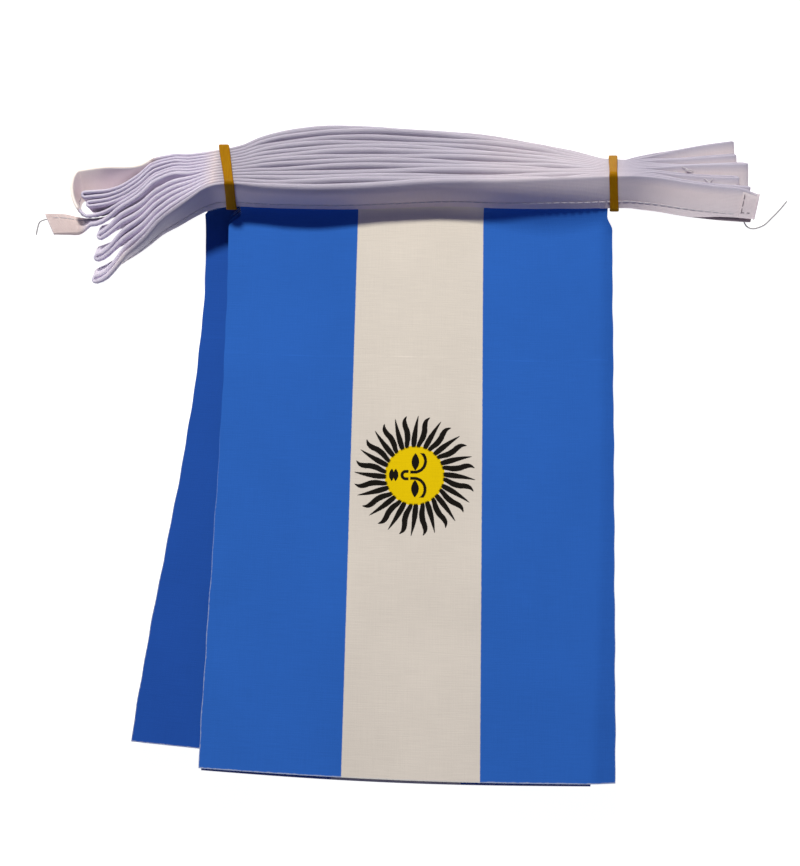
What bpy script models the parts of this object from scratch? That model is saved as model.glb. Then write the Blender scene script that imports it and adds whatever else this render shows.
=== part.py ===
"""Flag bunting: small striped flags sewn to one white tape, folded to and fro and tied.

The string lies on a flat surface.  Thirteen passes of the folded tape lie on one another
with a flag hanging from each, and a rubber band holds the passes at either side.
Sizes below are millimetres and degrees; the mesh is in metres, Z up, X along the tape,
Y from the free edges of the flags towards the tape.
"""
import bisect
import math
from collections import namedtuple

import bmesh
import bpy
from mathutils import Vector

# ------------------------------------------------------------------ driving sizes, mm
MM = 0.001
PASSES = 13               # passes of the tape, and flags
SHEET = 1.0               # thickness of cloth and tape
FLAG_PITCH = 1.40         # flags lying flat, one above the next
TAPE_WIDTH = 12.0         # a 25 mm ribbon folded along its middle
EDGE_GAP = 0.5            # flag cloth below the tape's open edge
HEM_LENGTH = 5.0          # turned end of the tape
HEM_SHEET = 1.5
HEM_WIDTH = 10.2          # the turned end is drawn in a little
TURN_STEPS = 6            # facets round a fold of the tape
BAND_CLEAR = 0.5
BAND_THICK = 1.0
BAND_TUCK = 0.25          # the bands hug the square edges of the pile
TOP_FLAG_Z = SHEET / 2 + FLAG_PITCH * (PASSES - 1)
MIDDLE_PASS = (PASSES - 1) / 2
CENTRE = Vector((-2.17, 3.88, 0.0))   # middle of the whole, put at the origin

# Passes are numbered from the front one, 0, to the back one, 12.  The string is followed
# from its hemmed end at the right: the last few passes were rolled round each other.
STRING_ORDER = (0, 1, 2, 3, 4, 5, 8, 9, 10, 11, 12, 7, 6)

# The bundle between the bands.  edge: Y of the front tape's open edge; tilt: lean of the
# tape's face; pitch: from one pass to the next; lift: open edge above the top flag.
Between = namedtuple("Between", "x edge tilt pitch lift")
BETWEEN = (
    Between(-67.8, 86.5, 67, 1.32, 3.2),
    Between(-63.0, 87.8, 66, 1.28, 3.1),
    Between(-56.4, 88.2, 66, 1.40, 2.8),
    Between(-49.2, 87.9, 67, 1.78, 2.4),
    Between(-42.0, 87.5, 67, 2.02, 2.6),
    Between(-32.0, 87.35, 67, 2.20, 2.85),
    Between(-20.0, 87.45, 64.5, 2.35, 2.5),
    Between(-6.0, 87.7, 61.5, 2.42, 1.8),
    Between(10.0, 87.75, 58.3, 2.40, 1.6),
    Between(21.0, 87.45, 57, 2.34, 2.15),
    Between(34.6, 86.6, 52, 2.41, 3.4),
    Between(48.5, 86.4, 46, 2.38, 3.9),
    Between(60.0, 86.8, 43, 2.00, 3.5),
    Between(66.5, 87.3, 41, 1.66, 2.9),
    Between(72.6, 87.5, 40, 1.36, 2.4),
    Between(80.2, 87.6, 38, 1.34, 2.2),
)
# Where the faceted tape and flags have their edges along X.
STEPS = (72.6, 66.0, 55.0, 36.0, 14.0, -8.0, -28.0, -41.0, -48.0, -52.5, -56.4, -63.0)
RIGHT_STEPS = (112.0, 104.0, 97.0, 92.0, 88.0, 84.0, 80.2)
LEFT_STEPS = (-67.8, -71.0, -75.5, -80.5, -86.0, -92.0, -98.5, -105.0)

# The two fans beyond the bands, along their middle pass: place of its open edge, heading
# away from the band, tilt, pitch of the passes before and behind it, slide (each pass
# shifted along its own width), extra gap before it, and splay (each pass turned more).
Fan = namedtuple("Fan", "x y z heading tilt pitch back_pitch slide gap splay")
LEFT_FAN = (
    Fan(-67.8, 93.79, 17.41, 0, 67, 1.32, 1.32, 0.0, 0.00, 0.0),
    Fan(-73.5, 94.5, 15.8, 2, 74, 1.70, 1.26, 0.0, 0.28, 0.0),
    Fan(-80.0, 95.9, 13.2, 4, 78, 2.24, 1.24, 0.0, 1.00, 0.0),
    Fan(-86.0, 95.7, 10.8, 5.5, 86, 2.36, 1.36, 0.0, 1.20, 0.0),
    Fan(-92.0, 93.3, 8.0, 7, 95, 2.56, 1.42, 0.0, 0.75, 0.0),
    Fan(-99.0, 90.9, 5.2, 9, 99, 2.94, 1.42, 0.0, -0.30, 0.0),
    Fan(-106.0, 89.3, 3.2, 10.5, 101, 3.38, 1.42, 0.0, -1.10, 0.0),
    Fan(-113.5, 88.5, 2.2, 12, 100, 3.86, 1.42, 0.0, -1.40, 0.0),
    Fan(-122.0, 88.3, 2.0, 13, 97, 4.00, 1.45, 0.0, -1.40, 0.0),
)
RIGHT_FAN = (
    Fan(80.2, 92.55, 13.16, 0, 38, 1.34, 1.34, 0.00, 0.0, 0.0),
    Fan(88.0, 93.1, 11.6, 1, 24, 1.50, 1.50, 0.50, 0.0, 0.5),
    Fan(97.0, 93.5, 11.1, 1, 13, 1.50, 1.50, 1.05, 0.0, 1.1),
    Fan(110.0, 94.0, 10.9, 1, 9, 1.48, 1.48, 1.50, 0.0, 1.6),
    Fan(128.0, 94.5, 10.8, 1, 9, 1.48, 1.48, 1.82, 0.0, 2.5),
)
# At the left the passes before the cut end fall forward, and those behind it stand up.
LEFT_LEAN = (20, 20, 20, 20, 20, 20, 16, 7, -3, -4.5, -6, -7.5, -9)
FLAP_LEAN = 45.0          # the last one falls back
# Far out, passes that share a fold draw together at the left, and at the right slide over
# one another by uneven steps; both are counted in passes from the middle one.
LEFT_PLACE = (-5.75, -5.25, -3.75, -3.25, -1.75, -1.25, 0.0, 1.0, 2.0, 3.0, 4.0, 5.0, 6.0)
RIGHT_PLACE = (-6.0, -5.5, -5.2, -3.2, -2.8, -0.3, 0.0, 0.2, 0.5, 2.5, 2.8, 5.3, 5.6)
STAND = 88                # passes that lean over still stand side by side

# How far out each fold reaches, as X along the middle pass of its fan.
Fold = namedtuple("Fold", "first second reach")
LEFT_FOLDS = (
    Fold(0, 1, -113.0), Fold(2, 3, -111.0), Fold(4, 5, -108.5),
    Fold(8, 9, -110.5), Fold(10, 11, -111.5), Fold(7, 12, -112.5),
)
RIGHT_FOLDS = (
    Fold(1, 2, 120.3), Fold(3, 4, 117.8), Fold(5, 8, 121.6),
    Fold(6, 7, 118.0), Fold(9, 10, 120.4), Fold(11, 12, 120.4),
)
HEM_REACH = 122.8         # hemmed end of the front pass

# The cut end leaves the left fan between two folds and falls over on its face.
Tail = namedtuple("Tail", "x y z heading tilt")
CUT_END = (
    Tail(-111.5, 88.6, 2.4, 11.6, 116.3),
    Tail(-114.5, 88.7, 2.2, 15, 127),
    Tail(-118.0, 89.4, 1.9, 19, 138),
    Tail(-123.0, 90.6, 1.6, 24, 147),
    Tail(-129.5, 90.8, 1.4, 28, 150),
)

# Rubber bands: X at the front tape's open edge, how far the ring drifts along X across
# the tape and through the bundle, and its width.
Band = namedtuple("Band", "name x drift_across drift_deep width")
BANDS = (Band("band_left", -59.6, 0.4, -2.6, 3.5), Band("band_right", 74.9, -1.2, 1.9, 3.0))

# Outline of each flag.  top_*: X where it meets the tape, clear of the bands; wide_*: X
# just below; low_*: the corners of the free edge; bow: how far the left edge curves in;
# sag: how far the free edge bows down.
Outline = namedtuple(
    "Outline",
    "top_left wide_left bow low_left low_left_y top_right wide_right low_right low_right_y sag")
OUTLINES = (
    Outline(-56.4, -60.7, 1.1, -67.7, -105.5, 72.6, 74.6, 72.1, -110.9, 1.4),
    Outline(-56.4, -60.9, 1.3, -67.0, -106.3, 69.6, 69.2, 63.4, -111.6, 1.5),
    Outline(-56.4, -60.8, 1.1, -67.2, -105.8, 69.8, 69.0, 62.8, -111.2, 1.4),
    Outline(-56.4, -61.0, 1.3, -66.8, -105.2, 70.4, 69.4, 63.0, -110.6, 1.4),
    Outline(-56.4, -60.8, 1.2, -67.0, -104.8, 72.2, 71.0, 64.6, -110.0, 1.2),
    Outline(-56.4, -69.9, 4.7, -91.7, -97.2, 72.2, 71.2, 52.0, -109.0, 1.0),
    Outline(-56.4, -69.2, 4.7, -90.6, -96.6, 72.2, 71.0, 53.0, -108.4, 1.0),
    Outline(-56.4, -69.5, 4.6, -91.2, -96.8, 72.2, 71.0, 54.0, -107.8, 0.8),
    Outline(-56.4, -69.0, 4.6, -90.2, -95.8, 72.2, 71.2, 55.0, -107.2, 0.8),
    Outline(-56.4, -69.3, 4.7, -90.6, -95.2, 72.2, 71.0, 52.5, -106.6, 0.8),
    Outline(-56.4, -68.8, 4.5, -89.6, -94.4, 72.2, 71.2, 53.5, -106.0, 0.6),
    Outline(-56.4, -69.0, 4.6, -90.0, -94.0, 72.2, 71.0, 55.0, -105.4, 0.6),
    Outline(-56.4, -68.6, 4.5, -89.2, -93.0, 72.2, 71.0, 54.0, -104.8, 0.6),
)
NECK = 2.2                # cloth stays clear of the bands this far below the tape
SHOULDER = 6.6            # and has its full width from here down
FLAG_LEFT, FLAG_RIGHT = -56.4, 72.6   # flag cloth is sewn in between these
FLAG_DROP = 198.0         # cloth below the tape: 210 less 12 inside the fold
# The front flag's right margin turns down along a crease.
CREASE_TOP_X, CREASE_DRIFT, CREASE_SLOPE = 70.6, 6.4, 0.58
SWELL = 0.7               # the top flags ride up a little between the middle and the foot

HEAD_ROWS = (0.0, 2.2, 4.2, 6.6, 9.2, 12.5, 17.0, 23.0)   # rows close together at the bend
BODY_ROWS = (60.0, 105.0, 150.0, 198.0)
FRONT_ROWS = (40.0, 60.0, 85.0, 110.0, 135.0, 160.0, 180.0, 198.0)


# ------------------------------------------------------------------------- interpolation
def ease(table, column, x):
    """Smooth value of one column at x, never beyond the rows on either side."""
    rows = table if table[0].x < table[-1].x else table[::-1]
    xs = [row.x for row in rows]
    ys = [getattr(row, column) for row in rows]
    x = min(max(x, xs[0]), xs[-1])
    k = min(max(bisect.bisect_right(xs, x) - 1, 0), len(xs) - 2)
    step = [xs[j + 1] - xs[j] for j in range(len(xs) - 1)]
    rise = [(ys[j + 1] - ys[j]) / step[j] for j in range(len(xs) - 1)]

    def slope(j):
        if j == 0 or j == len(xs) - 1:
            return rise[0] if j == 0 else rise[-1]
        a, b = rise[j - 1], rise[j]
        return 0.0 if a * b <= 0 else 2 * a * b / (a + b)

    s = (x - xs[k]) / step[k]
    return (ys[k] * (1 + 2 * s) * (1 - s) ** 2 + slope(k) * step[k] * s * (1 - s) ** 2
            + ys[k + 1] * s * s * (3 - 2 * s) - slope(k + 1) * step[k] * s * s * (1 - s))


def mix(a, b, s):
    return a + (b - a) * s


def soft_step(s):
    s = min(max(s, 0.0), 1.0)
    return s * s * (3 - 2 * s)


# ------------------------------------------------------------------------------ the tape
# A station is the open edge of the tape, the direction across it, its thickness and width.
Station = namedtuple("Station", "edge across sheet width", defaults=(SHEET, TAPE_WIDTH))


def across_and_down(heading, tilt):
    """Unit vectors across the tape (edge to fold) and from a pass to the one behind."""
    turn, lean = math.radians(heading), math.radians(tilt)
    level = Vector((-math.sin(turn), math.cos(turn), 0.0))
    up = Vector((0.0, 0.0, 1.0))
    return level * math.cos(lean) + up * math.sin(lean), level * math.sin(lean) - up * math.cos(lean)


def between_station(number, x):
    across, down = across_and_down(0.0, ease(BETWEEN, "tilt", x))
    front = Vector((x, ease(BETWEEN, "edge", x), TOP_FLAG_Z + ease(BETWEEN, "lift", x)))
    return Station(front + down * (number * ease(BETWEEN, "pitch", x)), across)


def fan_station(table, number, x):
    heading, tilt, behind = ease(table, "heading", x), ease(table, "tilt", x), number - MIDDLE_PASS
    across, _ = across_and_down(heading, tilt)
    _, down = across_and_down(heading, min(tilt, STAND))
    middle = Vector((x, ease(table, "y", x), ease(table, "z", x)))
    pitch = ease(table, "back_pitch" if behind > 0 else "pitch", x)
    stacked = slid = behind
    if table is LEFT_FAN:
        stacked = mix(behind, LEFT_PLACE[number], soft_step((-95.0 - x) / 14))
    else:
        slid = mix(behind, RIGHT_PLACE[number], soft_step((x - 82.0) / 22))
    edge = middle + down * (pitch * stacked) + across * (ease(table, "slide", x) * slid)
    if behind < 0:
        edge -= down * ease(table, "gap", x)
    if table is LEFT_FAN:
        tilt += LEFT_LEAN[number] * soft_step((-98.0 - x) / 12)
        if number == PASSES - 1:
            tilt -= FLAP_LEAN * soft_step((-86.0 - x) / 20)
    across, _ = across_and_down(heading + ease(table, "splay", x) * min(behind, 1.0), tilt)
    return Station(edge, across)


def reach_of(number, folds, loose_reach):
    for fold in folds:
        if number in (fold.first, fold.second):
            return fold.reach
    return loose_reach


def pass_stations(number, leftward):
    """All stations of one pass, from its right reach to its left reach or back."""
    left_reach = reach_of(number, LEFT_FOLDS, CUT_END[0].x)
    right_reach = reach_of(number, RIGHT_FOLDS, HEM_REACH)
    right = []
    if number == STRING_ORDER[0]:
        right_reach = HEM_REACH - HEM_LENGTH
        right = [fan_station(RIGHT_FAN, number, x)._replace(sheet=HEM_SHEET, width=width)
                 for x, width in ((HEM_REACH, HEM_WIDTH), (right_reach + 0.5, TAPE_WIDTH - 0.4))]
    right += [fan_station(RIGHT_FAN, number, x) for x in (right_reach,) + RIGHT_STEPS]
    inside = [between_station(number, x) for x in STEPS]
    left = [fan_station(LEFT_FAN, number, x) for x in LEFT_STEPS + (left_reach,)]
    if number == STRING_ORDER[-1]:
        for row in CUT_END[1:]:
            across, _ = across_and_down(row.heading, row.tilt)
            left.append(Station(Vector((row.x, row.y, row.z)), across))
    line = right + inside + left
    return line if leftward else line[::-1]


def turn_stations(before, last, first, after):
    """Half turn from one pass to the next one along the string."""
    out = ((last.edge - before.edge).normalized() + (first.edge - after.edge).normalized())
    half = (first.edge - last.edge) / 2
    out = (out - half * (out.dot(half) / half.length_squared)).normalized() * half.length
    centre = (first.edge + last.edge) / 2
    found = []
    for k in range(1, TURN_STEPS):
        angle = math.pi * k / TURN_STEPS
        edge = centre - half * math.cos(angle) + out * math.sin(angle)
        across = last.across.lerp(first.across, k / TURN_STEPS).normalized()
        found.append(Station(edge, across))
    return found


def tape_stations():
    line = []
    for place, number in enumerate(STRING_ORDER):
        run = pass_stations(number, leftward=place % 2 == 0)
        if line:
            line += turn_stations(line[-2], line[-1], run[0], run[1])
        line += run
    return line


# ----------------------------------------------------------------------------- the flags
def tape_edge(number, x):
    """Y and Z of a pass's open edge where flag cloth joins it, and the lean there."""
    x = min(max(x, FLAG_LEFT), FLAG_RIGHT)
    station = between_station(number, x)
    return station.edge.y, station.edge.z, math.radians(ease(BETWEEN, "tilt", x))


def flag_height(number, x, y):
    """Height of a flag's middle surface: leaving the tape in its plane, bending to level."""
    edge_y, edge_z, lean = tape_edge(number, x)
    level = SHEET / 2 + FLAG_PITCH * (PASSES - 1 - number)
    radius = (edge_z - level) / (1 - math.cos(lean))
    sine = math.sin(lean) - max(edge_y - y, 0.0) / radius
    height = level
    if sine > 0:
        height = edge_z - radius * (math.sqrt(1 - sine * sine) - math.cos(lean))
    below = edge_y - y
    share = 1 - number / (PASSES - 1)
    rise = soft_step((below - 25) / 60) * (0.55 + 0.45 * math.sin(0.031 * x + 0.024 * y + 0.6))
    height += SWELL * share ** 3 * rise
    if number == 0:
        past = x - CREASE_TOP_X + CREASE_DRIFT * (below / FLAG_DROP) ** 2
        height -= CREASE_SLOPE * max(past, 0.0) * soft_step((below - 2) / 8)
    return height


def flag_point(number, across, row):
    """Point of a flag's middle surface at a share across it and a distance down it."""
    shape = OUTLINES[number]
    flare = soft_step((row - NECK) / (SHOULDER - NECK))
    down = max(row - SHOULDER, 0.0) / (FLAG_DROP - SHOULDER)
    left = mix(mix(shape.top_left, shape.wide_left, flare), shape.low_left, down)
    left += shape.bow * 6.75 * down * (1 - down) ** 2
    right = mix(mix(shape.top_right, shape.wide_right, flare), shape.low_right, down)
    x = mix(left, right, across)
    edge_y, _, lean = tape_edge(number, x)
    top = edge_y - EDGE_GAP * math.cos(lean)
    low = mix(shape.low_left_y, shape.low_right_y, across) - shape.sag * math.sin(math.pi * across)
    y = mix(top, low, row / FLAG_DROP)
    return Vector((x, y, flag_height(number, x, y)))


def flag_normal(number, x, y):
    e = 0.25
    slope_x = (flag_height(number, x + e, y) - flag_height(number, x - e, y)) / (2 * e)
    slope_y = (flag_height(number, x, y + e) - flag_height(number, x, y - e)) / (2 * e)
    return Vector((-slope_x, -slope_y, 1.0)).normalized()


# -------------------------------------------------------------------------------- meshes
def make_object(name, verts, faces, colour, roughness):
    mesh = bpy.data.meshes.new(name)
    mesh.from_pydata([tuple((v - CENTRE) * MM) for v in verts], [], faces)
    tidy = bmesh.new()
    tidy.from_mesh(mesh)
    bmesh.ops.triangulate(tidy, faces=tidy.faces[:])
    bmesh.ops.recalc_face_normals(tidy, faces=tidy.faces[:])
    tidy.to_mesh(mesh)
    tidy.free()
    material = bpy.data.materials.new(name)
    material.use_nodes = True
    shader = material.node_tree.nodes["Principled BSDF"]
    shader.inputs["Base Color"].default_value = (*colour, 1.0)
    shader.inputs["Roughness"].default_value = roughness
    shader.inputs["Metallic"].default_value = 0.0
    mesh.materials.append(material)
    item = bpy.data.objects.new(name, mesh)
    bpy.context.scene.collection.objects.link(item)
    return item


def make_tape():
    line = tape_stations()
    verts = []
    for k, station in enumerate(line):
        before = (station.edge - line[k - 1].edge).normalized() if k else None
        after = (line[k + 1].edge - station.edge).normalized() if k < len(line) - 1 else None
        along = (before or after) + (after or before)
        normal = along.cross(station.across).normalized()
        corner = 1.0
        if before and after:
            corner = 1 / max(along.length / 2, 0.5)
        reach = normal * (station.sheet / 2 * corner)
        fold = station.edge + station.across * station.width
        verts += [station.edge - reach, fold - reach, fold + reach, station.edge + reach]
    faces = [(0, 1, 2, 3)]
    for k in range(len(line) - 1):
        a, b = 4 * k, 4 * k + 4
        if line[k].edge.x > line[k + 1].edge.x:
            faces += [(a, b, a + 1), (b, b + 1, a + 1), (a + 2, b + 3, a + 3), (a + 2, b + 2, b + 3)]
        else:
            faces += [(a, b, b + 1), (a, b + 1, a + 1), (a + 2, b + 2, a + 3), (b + 2, b + 3, a + 3)]
        faces += [(a + j, b + j, b + (j + 1) % 4, a + (j + 1) % 4) for j in (1, 3)]
    end = len(verts) - 4
    faces.append((end + 3, end + 2, end + 1, end))
    return make_object("tape", verts, faces, (0.80, 0.77, 0.84), 0.75)


def flag_columns(number, row):
    """Shares across the flag: at the tape's own steps near it, fewer further down."""
    if number > 0 and row > HEAD_ROWS[-1]:
        return [0.0, 0.25, 0.5, 0.75, 1.0]
    shape = OUTLINES[number]
    width = shape.top_right - shape.top_left
    shares = sorted((x - shape.top_left) / width for x in STEPS[1:-2])
    shares = [0.0] + shares + [1.0]
    return shares[:-1] + [0.955, 0.978, 1.0] if number == 0 else shares


def make_flag(number):
    rows = HEAD_ROWS + (FRONT_ROWS if number == 0 else BODY_ROWS)
    upper, lower, lines = [], [], []
    for row in rows:
        shares = flag_columns(number, row)
        lines.append([len(upper) + k for k in range(len(shares))])
        for share in shares:
            middle = flag_point(number, share, row)
            reach = flag_normal(number, middle.x, middle.y) * (SHEET / 2)
            upper.append(middle + reach)
            lower.append(middle - reach)
    count = len(upper)
    faces = []
    for above, below in zip(lines, lines[1:]):
        if len(above) == len(below):
            patches = [(above[c], below[c], below[c + 1], above[c + 1])
                       for c in range(len(above) - 1)]
        else:
            patches = join_rows(above, below, upper)
        faces += patches + [tuple(count + v for v in reversed(patch)) for patch in patches]
    rim = lines[0] + [line[-1] for line in lines[1:]] + lines[-1][-2::-1]
    rim += [line[0] for line in lines[-2:0:-1]]
    for a, b in zip(rim, rim[1:] + rim[:1]):
        faces.append((a, b, b + count, a + count))
    tone = (0.030, 0.125, 0.475) if number == 0 else (0.022, 0.090, 0.370)
    return make_object("flag_%02d" % (number + 1), upper + lower, faces, tone, 0.8)


def join_rows(above, below, points):
    """Triangles between two rows with different numbers of points."""
    found, a, b = [], 0, 0
    while a < len(above) - 1 or b < len(below) - 1:
        step_above = b == len(below) - 1 or (
            a < len(above) - 1 and points[above[a + 1]].x <= points[below[b + 1]].x)
        if step_above:
            found.append((above[a], below[b], above[a + 1]))
            a += 1
        else:
            found.append((above[a], below[b], below[b + 1]))
            b += 1
    return found


def make_band(band):
    """A flat ring round the bundle, a little askew to it."""
    across, down = across_and_down(0.0, ease(BETWEEN, "tilt", band.x))
    start = between_station(0, band.x).edge
    thick = (PASSES - 1) * ease(BETWEEN, "pitch", band.x)
    near = SHEET / 2 + BAND_CLEAR
    low, high = BAND_TUCK, TAPE_WIDTH - BAND_TUCK
    corners = ((low, 0.0, 270), (low, thick, 180), (high, thick, 90), (high, 0.0, 0))
    ring = []
    for wide, deep, first in corners:
        for k in range(4):
            angle = math.radians(first - 30 * k)
            ring.append((wide, deep, math.cos(angle), math.sin(angle)))
    verts = []
    for wide, deep, cosine, sine in ring:
        for reach, half in ((near, -1), (near, 1), (near + BAND_THICK, 1), (near + BAND_THICK, -1)):
            w, d = wide + cosine * reach, deep + sine * reach
            drift = band.drift_across * w / TAPE_WIDTH + band.drift_deep * d / thick
            verts.append(start + across * w + down * d + Vector((drift + half * band.width / 2, 0, 0)))
    total = len(ring)
    faces = []
    for k in range(total):
        a, b = 4 * k, 4 * ((k + 1) % total)
        faces += [(a + j, b + j, b + (j + 1) % 4, a + (j + 1) % 4) for j in range(4)]
    return make_object(band.name, verts, faces, (0.62, 0.33, 0.02), 0.45)


def build():
    for item in list(bpy.data.objects):
        bpy.data.objects.remove(item, do_unlink=True)
    make_tape()
    for number in range(PASSES):
        make_flag(number)
    for band in BANDS:
        make_band(band)


build()
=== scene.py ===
"""Looks of the flag bunting: the ribbon tape, the printed flags, the rubber bands, the sewing.

Lengths are millimetres in the modelling frame of the solids; place() turns them into metres.
X runs along the tape, -Y the way the flags hang and Z up from the surface. The passes of the
folded tape are numbered from 0 in front to 12 at the back, and so are their flags.
"""

import math
from collections import namedtuple

import bpy
import numpy as np
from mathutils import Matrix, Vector


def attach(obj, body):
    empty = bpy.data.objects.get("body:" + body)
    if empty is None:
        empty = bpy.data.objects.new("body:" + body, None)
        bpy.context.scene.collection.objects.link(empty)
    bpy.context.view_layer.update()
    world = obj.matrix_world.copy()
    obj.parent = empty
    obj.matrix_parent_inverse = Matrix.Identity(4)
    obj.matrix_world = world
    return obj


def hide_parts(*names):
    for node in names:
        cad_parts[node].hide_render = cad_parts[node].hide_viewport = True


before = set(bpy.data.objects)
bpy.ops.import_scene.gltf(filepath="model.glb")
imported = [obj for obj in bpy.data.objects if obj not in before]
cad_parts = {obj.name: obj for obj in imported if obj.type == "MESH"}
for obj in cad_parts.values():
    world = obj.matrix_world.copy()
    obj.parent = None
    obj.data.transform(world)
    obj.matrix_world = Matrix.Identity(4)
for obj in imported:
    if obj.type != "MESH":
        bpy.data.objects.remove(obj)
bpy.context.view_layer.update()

# ---- sizes of the solids
MM = 0.001
PASSES = 13
SHEET = 1.0               # thickness of the solids' cloth
FLAG_PITCH = 1.40         # from one flag to the next where they lie flat
TAPE_WIDTH = 12.0         # folded in two
EDGE_GAP = 0.5            # from the tape's open edge to the solid flag
HEM_LENGTH = 5.0
HEM_WIDTH = 10.2          # the hem is drawn in to this at its end
BAND_THICK = 1.0
BAND_TUCK = 0.25          # the bands bite this far into the pile's two long edges
TOP_FLAG_Z = SHEET / 2 + FLAG_PITCH * (PASSES - 1)
MIDDLE_PASS = (PASSES - 1) / 2
CENTRE = np.array((-2.17, 3.88, 0.0))
STRING_ORDER = (0, 1, 2, 3, 4, 5, 8, 9, 10, 11, 12, 7, 6)

# Between the bands: the front pass's open edge, the lean of the pile in degrees, the pitch
# of its passes and how high it lifts the top flag, all by X.
Between = namedtuple("Between", "x edge tilt pitch lift")
BETWEEN = [Between(*row) for row in (
    (-67.8, 86.5, 67, 1.32, 3.2),
    (-63.0, 87.8, 66, 1.28, 3.1),
    (-56.4, 88.2, 66, 1.40, 2.8),
    (-49.2, 87.9, 67, 1.78, 2.4),
    (-42.0, 87.5, 67, 2.02, 2.6),
    (-32.0, 87.35, 67, 2.20, 2.85),
    (-20.0, 87.45, 64.5, 2.35, 2.5),
    (-6.0, 87.7, 61.5, 2.42, 1.8),
    (10.0, 87.75, 58.3, 2.40, 1.6),
    (21.0, 87.45, 57, 2.34, 2.15),
    (34.6, 86.6, 52, 2.41, 3.4),
    (48.5, 86.4, 46, 2.38, 3.9),
    (60.0, 86.8, 43, 2.00, 3.5),
    (66.5, 87.3, 41, 1.66, 2.9),
    (72.6, 87.5, 40, 1.36, 2.4),
    (80.2, 87.6, 38, 1.34, 2.2),
)]
RIGHT_START, LEFT_START = 80.2, -67.8

# Beyond the bands: the middle pass's line, its heading and tilt, the pitch of the passes in
# front of it and behind, and how they slide, part and splay.
Fan = namedtuple("Fan", "x y z heading tilt pitch back_pitch slide gap splay")
LEFT_FAN = [Fan(*row) for row in (
    (-67.8, 93.79, 17.41, 0, 67, 1.32, 1.32, 0.0, 0.00, 0.0),
    (-73.5, 94.5, 15.8, 2, 74, 1.70, 1.26, 0.0, 0.28, 0.0),
    (-80.0, 95.9, 13.2, 4, 78, 2.24, 1.24, 0.0, 1.00, 0.0),
    (-86.0, 95.7, 10.8, 5.5, 86, 2.36, 1.36, 0.0, 1.20, 0.0),
    (-92.0, 93.3, 8.0, 7, 95, 2.56, 1.42, 0.0, 0.75, 0.0),
    (-99.0, 90.9, 5.2, 9, 99, 2.94, 1.42, 0.0, -0.30, 0.0),
    (-106.0, 89.3, 3.2, 10.5, 101, 3.38, 1.42, 0.0, -1.10, 0.0),
    (-113.5, 88.5, 2.2, 12, 100, 3.86, 1.42, 0.0, -1.40, 0.0),
    (-122.0, 88.3, 2.0, 13, 97, 4.00, 1.45, 0.0, -1.40, 0.0),
)]
RIGHT_FAN = [Fan(*row) for row in (
    (80.2, 92.55, 13.16, 0, 38, 1.34, 1.34, 0.00, 0.0, 0.0),
    (88.0, 93.1, 11.6, 1, 24, 1.50, 1.50, 0.50, 0.0, 0.5),
    (97.0, 93.5, 11.1, 1, 13, 1.50, 1.50, 1.05, 0.0, 1.1),
    (110.0, 94.0, 10.9, 1, 9, 1.48, 1.48, 1.50, 0.0, 1.6),
    (128.0, 94.5, 10.8, 1, 9, 1.48, 1.48, 1.82, 0.0, 2.5),
)]

# At the ends: extra tilt of each pass, and its place in the pile, in pitches from the middle.
LEFT_LEAN = (20, 20, 20, 20, 20, 20, 16, 7, -3, -4.5, -6, -7.5, -9)
FLAP_LEAN = 45.0          # the back pass leans this much the other way, round the big loop
LEFT_PLACE = (-5.75, -5.25, -3.75, -3.25, -1.75, -1.25, 0.0, 1.0, 2.0, 3.0, 4.0, 5.0, 6.0)
RIGHT_PLACE = (-6.0, -5.5, -5.2, -3.2, -2.8, -0.3, 0.0, 0.2, 0.5, 2.5, 2.8, 5.3, 5.6)
STAND = 88                # the pile itself turns no further than this

# Pairs of passes that a turn joins, and the X that it starts from.
Fold = namedtuple("Fold", "first second reach")
LEFT_FOLDS = [Fold(*row) for row in (
    (0, 1, -113.0), (2, 3, -111.0), (4, 5, -108.5),
    (8, 9, -110.5), (10, 11, -111.5), (7, 12, -112.5),
)]
RIGHT_FOLDS = [Fold(*row) for row in (
    (1, 2, 120.3), (3, 4, 117.8), (5, 8, 121.6),
    (6, 7, 118.0), (9, 10, 120.4), (11, 12, 120.4),
)]
HEM_REACH = 122.8

Tail = namedtuple("Tail", "x y z heading tilt")
CUT_PASS = STRING_ORDER[-1]
CUT_END = [Tail(*row) for row in (
    (-111.5, 88.6, 2.4, 11.6, 116.3),
    (-114.5, 88.7, 2.2, 15, 127),
    (-118.0, 89.4, 1.9, 19, 138),
    (-123.0, 90.6, 1.6, 24, 147),
    (-129.5, 90.8, 1.4, 28, 150),
)]

Band = namedtuple("Band", "name x drift_across drift_deep width")
BANDS = (Band("band_left", -59.6, 0.4, -2.6, 3.5), Band("band_right", 74.9, -1.2, 1.9, 3.0))

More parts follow.
